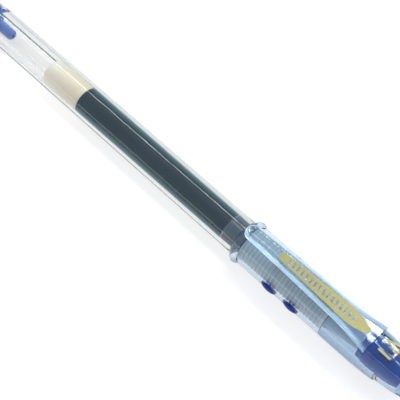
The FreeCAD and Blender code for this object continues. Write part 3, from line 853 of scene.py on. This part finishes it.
class GELPEN_OT_ink(bpy.types.Operator):
    """Gel ink in the bore and the grease that follows it"""
    bl_idname = "gelpen.ink"
    bl_label = "Ink and grease"

    def execute(self, context):
        sizes, colours = context.scene.pen_sizes, context.scene.pen_colours
        r = BORE_R + sizes.wetting
        rear, front = low("ink_column").x, high("ink_column").x
        points = [(rear, 0), (rear, r)]
        points += [(rear + (front - rear) * i / 20, r) for i in range(1, 21)]
        points += [(front, 0)]
        ink = turned("ink", points, steps=96)
        finish_piece(ink, "pen", "ink", gel_ink(colours), "ink_column")
        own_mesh(ink)

        rear, front = low("follower_grease").x, high("follower_grease").x
        dish = 0.7 * MM
        points = [(rear + dish, 0)]
        points += bow(points[0], (rear + dish * 0.5, r * 0.7071), (rear, r), 10)
        points += [(rear + (front - rear) * i / 6, r) for i in range(1, 7)]
        points += [(front, 0)]
        plug = turned("follower", points, steps=96)
        finish_piece(plug, "follower", "grease", grease(colours), "follower_grease")
        coat_node("section_ink", gel_ink(colours))
        return {"FINISHED"}


class GELPEN_OT_front(bpy.types.Operator):
    """Front section, ribbed grip, nose cone and writing tip"""
    bl_idname = "gelpen.front"
    bl_label = "Front section and grip"

    def execute(self, context):
        sizes, colours = context.scene.pen_sizes, context.scene.pen_colours
        spigot_x, end_x = low("front_section").x, high("front_section").x
        core_r = GRIP_R - 1.0 * MM
        collar_r = BARREL_R - 0.25 * MM
        bore = 1.1 * MM
        nose_bore = 2.2 * MM
        gap = 0.02 * MM
        wet = BORE_R + sizes.wetting
        points = [(spigot_x + gap, bore), (spigot_x + gap, wet - 0.1 * MM), (spigot_x + 0.1 * MM, wet),
                  (BARREL_FRONT + gap, wet), (BARREL_FRONT + gap, collar_r - 0.1 * MM),
                  (BARREL_FRONT + 0.1 * MM, collar_r), (GRIP_REAR - 0.15 * MM, collar_r),
                  (GRIP_REAR - gap, collar_r - 0.15 * MM), (GRIP_REAR - gap, core_r), (GRIP_FRONT, core_r),
                  (GRIP_FRONT, nose_bore), (end_x, nose_bore), (end_x, bore)]
        section = turned("section", points, ring=True)
        smoke = moulded("Smoke Plastic", colours.section, 1.25, 0.16, Coat_Weight=0.4, IOR=1.5)
        finish_piece(section, "pen", "smoke_plastic", smoke, "front_section")

        land = 0.4 * MM
        ribs = int((GRIP_FRONT - GRIP_REAR - 2 * land) / sizes.rib_pitch)
        pitch = (GRIP_FRONT - GRIP_REAR - 2 * land) / ribs
        points = [(GRIP_REAR, core_r + gap), (GRIP_REAR, GRIP_R - 0.1 * MM), (GRIP_REAR + 0.1 * MM, GRIP_R),
                  (GRIP_REAR + land, GRIP_R)]
        for i in range(ribs):
            x = GRIP_REAR + land + i * pitch
            points += [(x + pitch * 0.3, GRIP_R - sizes.rib_depth),
                       (x + pitch * 0.5, GRIP_R - sizes.rib_depth),
                       (x + pitch * 0.8, GRIP_R), (x + pitch, GRIP_R)]
        points += [(GRIP_FRONT, GRIP_R), (GRIP_FRONT, core_r + gap)]
        grip = turned("grip", points, ring=True, steps=96)
        rubber = ribbed_rubber(colours, GRIP_REAR + land, pitch)
        finish_piece(grip, "pen", "grip_rubber", rubber, "grip_sleeve")

        nose = pale_nose(colours)
        for node in ("nose_cone", "tip_holder"):
            coat_node(node, nose)
        coat_node("writing_tip", turned_metal(colours))
        coat_node("tip_ball", polished_ball(colours))
        return {"FINISHED"}


# ---- Cap group
def clip_top(x):
    """Height of the clip's top above the pen's axis."""
    rear, middle, front = CLIP_TOP
    return arc_height(x, (CLIP_FREE, rear), ((CLIP_FREE + HINGE.x) / 2, middle), (HINGE.x, front))


def clip_under(x):
    """Height of the clip's underside above the pen's axis."""
    rear, middle, front = CLIP_UNDER
    return arc_height(x, (CLIP_FREE, rear), ((CLIP_FREE + HINGE.x) / 2, middle), (HINGE.x, front))


def crown_top(x):
    """Height of the crown's top above the pen's axis."""
    rear, middle, front = CROWN_TOP
    rear_x = HINGE.x + 0.12 * MM
    return arc_height(x, (rear_x, rear), ((rear_x + CROWN_FRONT) / 2, middle), (CROWN_FRONT, front))


def shoulder_section(flat, side_share, count=7):
    """Ring of a flat top with rounded shoulders, (y, z) from -1..1 and 0..1."""
    half = [(0.9, 0.0), (1.0, side_share * 0.4), (1.0, side_share)]
    for i in range(1, count + 1):
        t = i / count * pi / 2
        half.append((flat + (1 - flat) * cos(t), side_share + (1 - side_share) * sin(t)))
    half.append((flat * 0.9, 1.0))
    half.append((flat * 0.4, 1.0))
    return half + [(-y, z) for y, z in reversed(half)]


class GELPEN_OT_cap(bpy.types.Operator):
    """Clear cap with its lip, inner shoulder and crown"""
    bl_idname = "gelpen.cap"
    bl_label = "Cap"

    def execute(self, context):
        sizes, colours = context.scene.pen_sizes, context.scene.pen_colours
        bore = GRIP_R + sizes.cap_gap
        lip = 2.4 * MM
        taper_x = PLUG_REAR - 1.0 * MM
        ledge_x = taper_x + 7.2 * MM
        crown_r = CAP_R - sizes.crown_drop
        dome_r = crown_r - sizes.crown_ledge
        dome_length = 3.0 * MM
        dome_x = END_X - dome_length
        end_r = dome_r - 1.3 * MM
        mouth_r = BARREL_R + 0.1 * MM
        stop_x = NOSE_FRONT - NOSE_CONE_LENGTH + 0.1 * MM
        plug_bore = PLUG_R + 0.02 * MM
        points = [(MOUTH_X, 0), (MOUTH_X, CAP_R - 0.15 * MM)]
        points += bow((MOUTH_X, CAP_R - 0.15 * MM), (MOUTH_X + lip / 2, LIP_R), (MOUTH_X + lip, CAP_R), 14)
        points += [(MOUTH_X + lip + (taper_x - MOUTH_X - lip) * i / 10, CAP_R) for i in range(1, 11)]
        points += bow((taper_x, CAP_R), ((taper_x + ledge_x) / 2, CAP_R - 0.15 * MM), (ledge_x, crown_r), 8)
        points += [(ledge_x + 0.08 * MM, crown_r - 0.08 * MM), (ledge_x + 0.12 * MM, dome_r + 0.08 * MM),
                   (ledge_x + 0.25 * MM, dome_r)]
        middle = ((ledge_x + dome_x) / 2, (dome_r + end_r) / 2 + 0.22 * MM)
        points += bow(points[-1], middle, (dome_x, end_r), 8)
        centre_r = 0.8 * MM
        turn = end_r - centre_r
        diagonal = 0.7071
        middle = (dome_x + dome_length * diagonal, centre_r + turn * diagonal)
        points += bow(points[-1], middle, (END_X, centre_r), 10)
        points += [(END_X, 0)]
        cap = turned("cap", points, steps=144)

        root_half = sizes.clip_root_width / 2 + 0.5 * MM
        front = CROWN_FRONT
        back = HINGE.x + sizes.seam_gap / 2
        stations = []
        count = 30
        for i in range(count + 1):
            t = i / count
            x = back + (front - 0.02 * MM - back) * (1 - (1 - t) ** 1.6)
            run = (x - back) / (front - back)
            half = root_half * (1 - run ** 2.6) ** 0.5 * (1 - 0.12 * run)
            half = max(half, 0.25 * MM)
            under = 1.2 * MM
            top = crown_top(min(x, front - 0.01 * MM)) if x > back + 0.2 * MM else clip_top(HINGE.x)
            stations.append((x, half, under, top - under))
        block = loft("crown_block", shoulder_section(0.4, 0.04, 11), stations)
        combine(cap, block, "UNION")

        inside = [(MOUTH_X - MM, 0), (MOUTH_X - MM, mouth_r + 1.1 * MM), (MOUTH_X + 0.1 * MM, mouth_r),
                  (MOUTH_X + 1.95 * MM, mouth_r)]
        wall_length = stop_x - 0.1 * MM - MOUTH_X - 2.0 * MM
        inside += [(MOUTH_X + 2.0 * MM + wall_length * i / 8, bore) for i in range(9)]
        inside += [(stop_x, bore - 0.1 * MM), (stop_x, plug_bore), (TAPER_FROM, plug_bore),
                   (PLUG_FRONT + 0.05 * MM, PLUG_R - 0.8 * MM), (PLUG_FRONT + 0.05 * MM, 0)]
        combine(cap, turned("cap_bore", inside, steps=144), "DIFFERENCE")
        finish_piece(cap, "cap", "clear_cap", clear_cap(colours), "cap_shell")
        return {"FINISHED"}


class GELPEN_OT_bumps(bpy.types.Operator):
    """Four lens-shaped bumps on the cap's sides, in an opaque deep blue that is painted shade for the dark
    look of clear tinted lenses
    """
    bl_idname = "gelpen.bumps"
    bl_label = "Side bumps"

    def execute(self, context):
        colours = context.scene.pen_colours
        # Painted shade: the bumps get an opaque deep blue instead of the cap's clear plastic
        plastic = moulded("Painted Shade Bump", colours.bump, 1.4, 0.06, Specular_IOR_Level=0.12)
        for row, station in enumerate(BUMP_STATIONS):
            for side in (-1, 1):
                half, tall, wide = 2.25 * MM, 0.44 * MM, 1.5 * MM
                x = MOUTH_X + station
                bpy.ops.object.select_all(action="DESELECT")
                bpy.ops.mesh.primitive_uv_sphere_add(segments=32, ring_count=16, radius=1.0,
                                                     location=(0, 0, 0))
                bump = bpy.context.object
                bump.name = bump.data.name = f"bump_{row}_{'left' if side > 0 else 'right'}"
                bpy.ops.object.mode_set(mode="EDIT")
                bpy.ops.mesh.select_all(action="SELECT")
                bpy.ops.transform.resize(value=(half, wide, tall + 0.35 * MM), center_override=(0, 0, 0))
                bpy.ops.transform.translate(value=(x, 0, AXIS_Z + CAP_R - 0.35 * MM))
                bpy.ops.transform.rotate(value=side * radians(95.0), orient_axis="X",
                                         center_override=(x, 0, AXIS_Z))
                close_up()
                finish_piece(bump, "cap", "clear_cap", plastic)
        return {"FINISHED"}


class GELPEN_OT_crown_plug(bpy.types.Operator):
    """Deep blue plug inside the crown and the soft pad that closes the ball"""
    bl_idname = "gelpen.crown_plug"
    bl_label = "Crown plug and seal"

    def execute(self, context):
        colours = context.scene.pen_colours
        socket = 2.05 * MM
        r = PLUG_R - 0.03 * MM
        seal_x = high("tip_seal").x
        edge = 0.2 * MM
        points = [(PLUG_REAR + edge, socket), (PLUG_REAR, socket + edge), (PLUG_REAR, r - edge),
                  (PLUG_REAR + edge, r)]
        points += [(PLUG_REAR + edge + (TAPER_FROM - PLUG_REAR - edge) * i / 4, r) for i in range(1, 5)]
        points += [(PLUG_FRONT - edge, r - 0.75 * MM), (PLUG_FRONT, r - 0.75 * MM - edge), (PLUG_FRONT, 0),
                   (seal_x + 0.01 * MM, 0), (seal_x + 0.01 * MM, socket), (PLUG_REAR + edge, socket)]
        plug = turned("crown_plug", points, steps=112)
        plastic = moulded("Crown Plug", colours.inner_plug, 1.35, 0.16, Coat_Weight=0.6, IOR=1.5,
                          Subsurface_Weight=0.2, Subsurface_Radius=(0.2, 0.4, 1.5), Subsurface_Scale=0.6 * MM)
        finish_piece(plug, "cap", "blue_plug", plastic, "inner_cap")
        coat_node("tip_seal", moulded("Seal Rubber", colours.seal, 0.9, 0.5))
        return {"FINISHED"}


class GELPEN_OT_clip(bpy.types.Operator):
    """Pocket clip that flares into the crown"""
    bl_idname = "gelpen.clip"
    bl_label = "Pocket clip"

    def execute(self, context):
        sizes, colours = context.scene.pen_sizes, context.scene.pen_colours
        end_half, neck_half, root_half = (sizes.clip_end_width / 2, sizes.clip_neck_width / 2,
                                          sizes.clip_root_width / 2)
        flare_x = HINGE.x - 11.0 * MM
        last = HINGE.x - sizes.seam_gap / 2

        def half_at(x):
            if x < CLIP_FREE + end_half:
                d = 1 - (x - CLIP_FREE) / end_half
                return end_half * sqrt(max(0.0, 1 - d * d))
            if x < flare_x:
                t = (x - CLIP_FREE - end_half) / (flare_x - CLIP_FREE - end_half)
                return end_half + (neck_half - end_half) * t
            t = (x - flare_x) / (HINGE.x - flare_x)
            return neck_half + (root_half - neck_half) * t ** 1.6

        stations = []
        nose = 0.9 * MM
        steps = [0.004, 0.015, 0.035, 0.07, 0.12, 0.18, 0.26, 0.36, 0.48, 0.62, 0.8, 1.0]
        xs = [CLIP_FREE + end_half * s for s in steps]
        xs += [CLIP_FREE + end_half + (last - CLIP_FREE - end_half) * i / 44 for i in range(1, 45)]
        for x in xs:
            under, top = clip_under(x), clip_top(x)
            d = max(0.0, 1 - (x - CLIP_FREE) / nose)
            fall = sqrt(1 - d * d)
            middle = under + (top - under) * 0.35
            stations.append((x, half_at(x), middle + (under - middle) * fall, (top - under) * fall))
        clip = loft("clip", shoulder_section(0.5, 0.3), stations)
        finish_piece(clip, "clip", "clear_cap", clear_clip(colours), "pocket_clip")
        coat_node("clip_foil", windowed_foil(colours))
        coat_node("crown_mark", gold_foil(colours))
        return {"FINISHED"}


# ---- Studio
class GELPEN_OT_studio(bpy.types.Operator):
    """Pale floor, soft studio light and the camera"""
    bl_idname = "gelpen.studio"
    bl_label = "Studio"

    def execute(self, context):
        scene = context.scene
        studio, colours = scene.pen_studio, scene.pen_colours
        bpy.ops.object.select_all(action="DESELECT")
        bpy.ops.mesh.primitive_plane_add(size=6.0, location=(0, 0, 0))
        floor = context.object
        floor.name = "floor"
        look = Finish("Pale Floor")
        look.drift(colours.floor, shade(colours.floor, 0.985), 8.0)
        look.surface(60.0, 0.75, 0.9, 0.02, 0.1 * MM)
        look.set(Specular_IOR_Level=0.1, Emission_Color=(1.0, 1.0, 1.0, 1.0), Emission_Strength=0.72)
        coat(floor, look.material)

        world = bpy.data.worlds.new("Studio Light")
        scene.world = world
        world.use_nodes = True
        sky = world.node_tree.nodes["Background"]
        sky.inputs["Strength"].default_value = studio.world_light
        where = world.node_tree.nodes.new("ShaderNodeTexCoord")
        split = world.node_tree.nodes.new("ShaderNodeSeparateXYZ")
        walls = world.node_tree.nodes.new("ShaderNodeValToRGB")
        stops = walls.color_ramp.elements
        stops[0].position, stops[0].color = 0.0, (0.02, 0.03, 0.07, 1.0)
        stops[1].position, stops[1].color = 0.75, (1.0, 1.0, 1.0, 1.0)
        for height, tone in ((0.1, (0.05, 0.07, 0.12, 1.0)), (0.27, (0.6, 0.63, 0.67, 1.0))):
            band = stops.new(height)
            band.color = tone
        world.node_tree.links.new(where.outputs["Generated"], split.inputs["Vector"])
        world.node_tree.links.new(split.outputs["Z"], walls.inputs["Fac"])
        world.node_tree.links.new(walls.outputs["Color"], sky.inputs["Color"])

        aim = Vector((studio.aim_x, 0, AXIS_Z))
        lights = [
            ("strip_light", (-0.05, 0.24, 0.445), (1.0, 0.035), studio.key_light, (0.9, 0.97, 1.0)),
            ("side_light", (0.05, -0.45, 0.1), (0.9, 0.1), studio.key_light * 0.4, (0.95, 0.98, 1.0)),
            ("crown_light", (0.07, 0.252, 0.475), (0.2, 0.1), studio.key_light * 0.8, (1.0, 1.0, 1.0)),
        ]
        for name, place, (wide, deep), power, tint in lights:
            bpy.ops.object.light_add(type="AREA", location=place)
            lamp = context.object
            lamp.name = name
            lamp.data.shape = "RECTANGLE"
            lamp.data.size, lamp.data.size_y = wide, deep
            lamp.data.energy = power
            lamp.data.color = tint
            away = (Vector(place) - Vector((place[0], 0, AXIS_Z))).normalized()
            lamp.rotation_euler = away.to_track_quat("Z", "Y").to_euler()

        toward = Vector((cos(studio.elevation) * sin(studio.azimuth),
                         -cos(studio.elevation) * cos(studio.azimuth), sin(studio.elevation)))
        bpy.ops.object.camera_add(location=aim + toward * studio.distance)
        camera = context.object
        camera.rotation_euler = toward.to_track_quat("Z", "Y").to_euler()
        camera.data.lens = studio.lens
        camera.data.sensor_width = 36.0
        camera.data.clip_start = 0.01
        scene.camera = camera
        scene.view_settings.view_transform = "Standard"
        return {"FINISHED"}


# ---- Panel and registration
STEPS = ("gelpen.studio", "gelpen.barrel", "gelpen.rear_plug", "gelpen.ink", "gelpen.front",
         "gelpen.cap", "gelpen.bumps", "gelpen.crown_plug", "gelpen.clip")


class GELPEN_PT_panel(bpy.types.Panel):
    """Lists the pen's pieces and the studio"""
    bl_idname = "GELPEN_PT_panel"
    bl_label = "Gel Pen"
    bl_space_type = "VIEW_3D"
    bl_region_type = "UI"
    bl_category = "Gel Pen"

    def draw(self, context):
        for step in STEPS:
            self.layout.operator(step)


CLASSES = (PenSizes, PenColours, StudioSettings, GELPEN_OT_studio, GELPEN_OT_barrel, GELPEN_OT_rear_plug,
           GELPEN_OT_ink, GELPEN_OT_front, GELPEN_OT_cap, GELPEN_OT_bumps, GELPEN_OT_crown_plug,
           GELPEN_OT_clip, GELPEN_PT_panel)


def register():
    for each in CLASSES:
        bpy.utils.register_class(each)
    bpy.types.Scene.pen_sizes = bpy.props.PointerProperty(type=PenSizes)
    bpy.types.Scene.pen_colours = bpy.props.PointerProperty(type=PenColours)
    bpy.types.Scene.pen_studio = bpy.props.PointerProperty(type=StudioSettings)


def unregister():
    del bpy.types.Scene.pen_studio
    del bpy.types.Scene.pen_colours
    del bpy.types.Scene.pen_sizes
    for each in reversed(CLASSES):
        bpy.utils.unregister_class(each)


def main():
    register()
    for step in STEPS:
        area, name = step.split(".")
        getattr(getattr(bpy.ops, area), name)()


if __name__ == "__main__":
    main()
